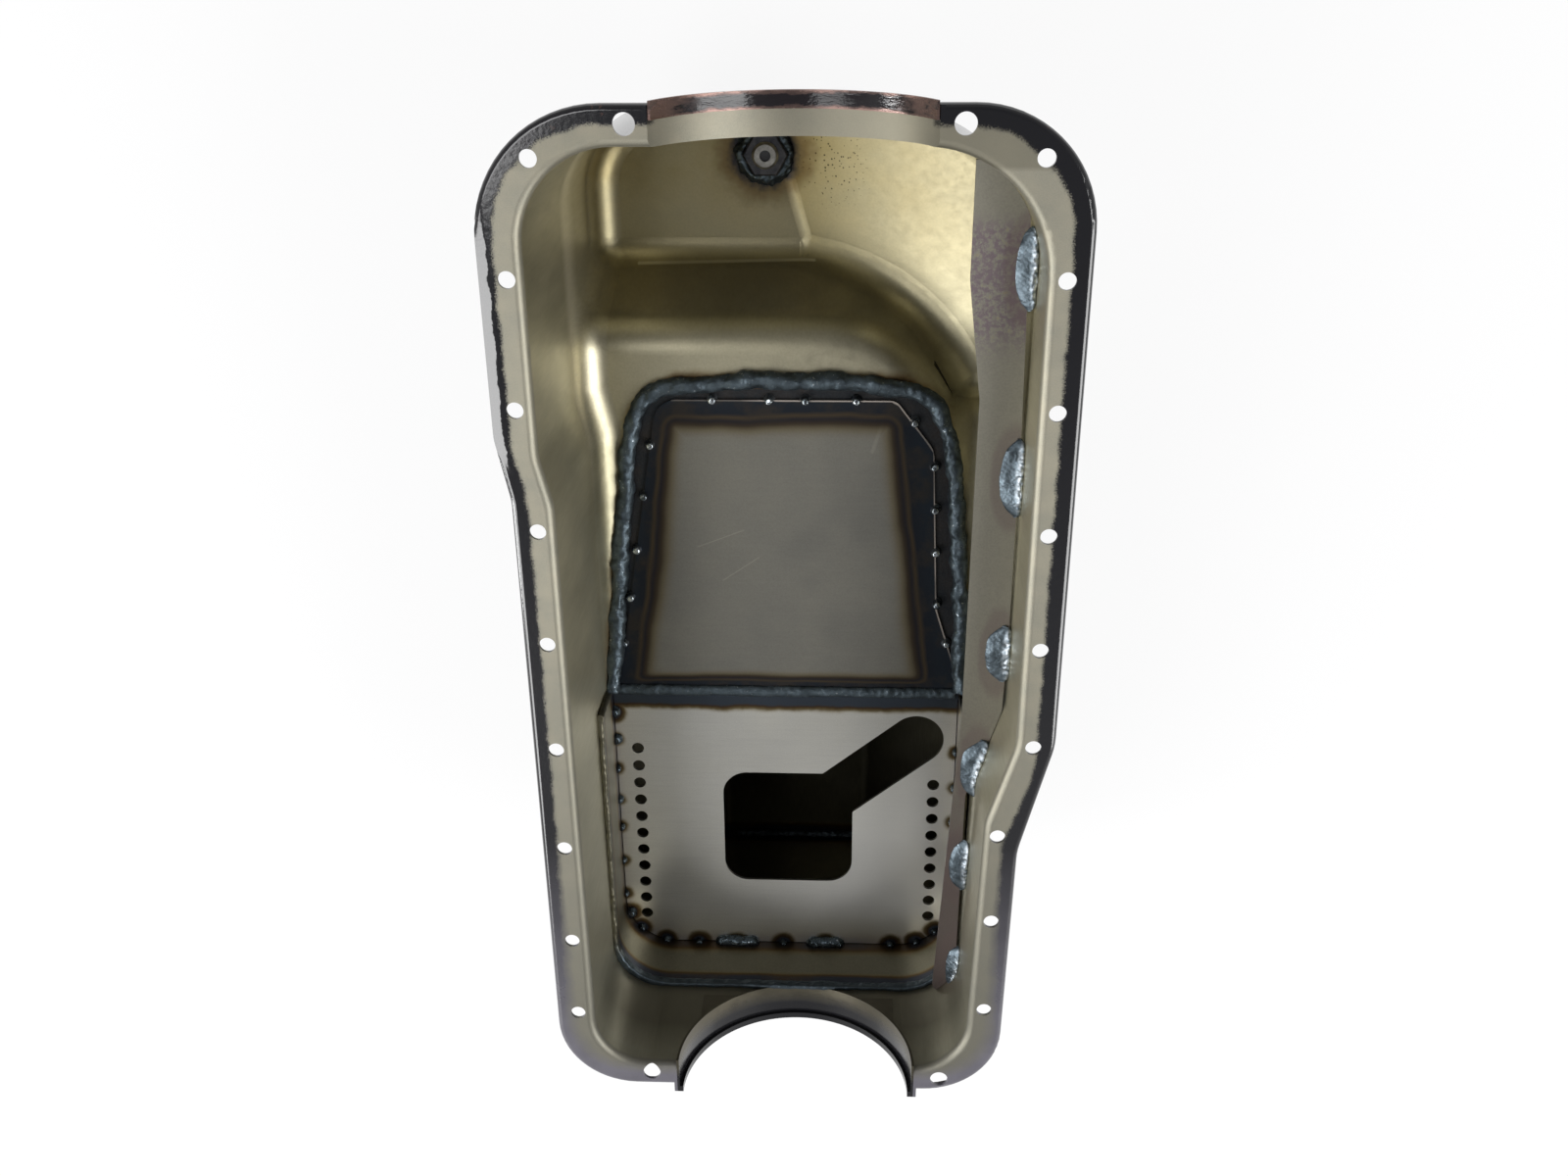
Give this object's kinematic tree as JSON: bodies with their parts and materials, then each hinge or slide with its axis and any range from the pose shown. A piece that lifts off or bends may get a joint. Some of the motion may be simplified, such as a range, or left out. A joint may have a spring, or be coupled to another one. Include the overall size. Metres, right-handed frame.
{
  "type": "engine oil pan",
  "caption": "Welded sheet steel double-sump engine oil pan with stamped bolt flange, seal arcs, baffle deck with pickup window, crank scraper and drain plugs.",
  "frame": {"origin": "in the gasket face on the crankshaft centre line, at the centre of the rectangle of four rail bolt holes", "axes": "+Z out of the open side towards the engine block, +Y towards the front of the engine, +X to the side of the crank scraper"},
  "size_m": [0.2417, 0.4859, 0.2015],
  "materials": {
    "gold_and_black_steel": "bare golden steel inside, gloss black paint outside",
    "black_painted_steel": "gloss black paint outside, bare steel inside",
    "gold_steel": "bare golden brushed steel",
    "coppered_steel": "gloss black with rubbed coppery edges",
    "bare_steel": "bare sheet steel",
    "dark_bare_steel": "dull bare sheet steel with heat tint at the edges",
    "brown_steel": "matte reddish brown",
    "weld_metal": "blue-grey weld bead",
    "copper_washer": "copper",
    "magnet_black": "dark magnet"
  },
  "bodies": {
    "root": {"pan_shell": "gold_and_black_steel", "front_seal_retainer": "coppered_steel", "rear_seal_retainer": "gold_steel", "sump_wall_band": "black_painted_steel", "sump_bottom": "black_painted_steel", "sump_front": "black_painted_steel", "baffle_ledge": "bare_steel", "front_baffle_plate": "dark_bare_steel", "rear_baffle_plate": "bare_steel", "crank_scraper": "brown_steel", "front_drain_bung": "bare_steel", "front_drain_plug": "bare_steel", "front_plug_magnet": "magnet_black", "front_plug_washer": "copper_washer", "front_bung_weld": "weld_metal", "rear_drain_bung": "bare_steel", "rear_drain_plug": "bare_steel", "rear_plug_magnet": "magnet_black", "rear_plug_washer": "copper_washer", "rear_bung_weld": "weld_metal", "shell_sump_weld": "weld_metal", "skirt_weld": "black_painted_steel", "skirt_inner_weld": "weld_metal", "baffle_seam_weld": "weld_metal", "front_plate_tacks": "weld_metal", "rear_plate_tacks": "weld_metal", "sump_floor_weld": "weld_metal", "scraper_welds": "weld_metal"}
  },
  "joints": []
}
